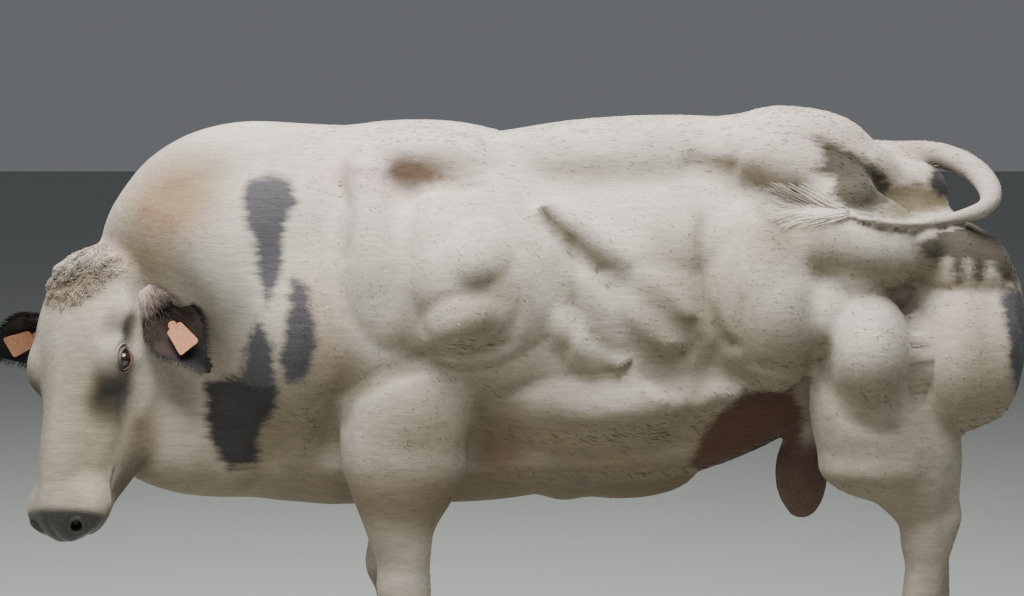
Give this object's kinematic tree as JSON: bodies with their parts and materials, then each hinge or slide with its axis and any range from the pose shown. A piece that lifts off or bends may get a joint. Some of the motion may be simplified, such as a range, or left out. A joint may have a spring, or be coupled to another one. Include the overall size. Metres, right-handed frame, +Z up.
{
  "type": "belgian blue bull",
  "caption": "Still, life-size standing model of a double-muscled Belgian Blue bull with its head lowered and turned and its tail swung over one thigh",
  "frame": {"origin": "on the floor under the centre of the bounding box", "axes": "X lengthwise with the head end at -X and the rump at +X, Y across with the animal's left side at -Y, Z up from the floor"},
  "size_m": [2.3594, 0.8132, 1.5092],
  "materials": {
    "coat": "short cream-white hair with blue-grey and olive-brown patches",
    "ear_coat": "short black hair",
    "bare_skin": "bare brown skin",
    "horn": "dull hoof horn",
    "eye": "wet dark eye",
    "tag": "blank ear tag"
  },
  "bodies": {
    "root": {"ear_left": "ear_coat", "ear_right": "ear_coat", "ear_tag_button_left": "tag", "ear_tag_button_right": "tag", "ear_tag_left": "tag", "ear_tag_right": "tag", "eye_left": "eye", "eye_right": "eye", "foreleg_left": "coat", "foreleg_left_claw_left": "horn", "foreleg_left_claw_right": "horn", "foreleg_left_dewclaw_left": "horn", "foreleg_left_dewclaw_right": "horn", "foreleg_right": "coat", "foreleg_right_claw_left": "horn", "foreleg_right_claw_right": "horn", "foreleg_right_dewclaw_left": "horn", "foreleg_right_dewclaw_right": "horn", "head": "coat", "hindleg_left": "coat", "hindleg_left_claw_left": "horn", "hindleg_left_claw_right": "horn", "hindleg_left_dewclaw_left": "horn", "hindleg_left_dewclaw_right": "horn", "hindleg_right": "coat", "hindleg_right_claw_left": "horn", "hindleg_right_claw_right": "horn", "hindleg_right_dewclaw_left": "horn", "hindleg_right_dewclaw_right": "horn", "neck": "coat", "scrotum": "bare_skin", "sheath": "coat", "tail_bend": "coat", "tail_end": "coat", "tail_root": "coat", "tail_switch": "coat", "torso": "coat"}
  },
  "joints": []
}
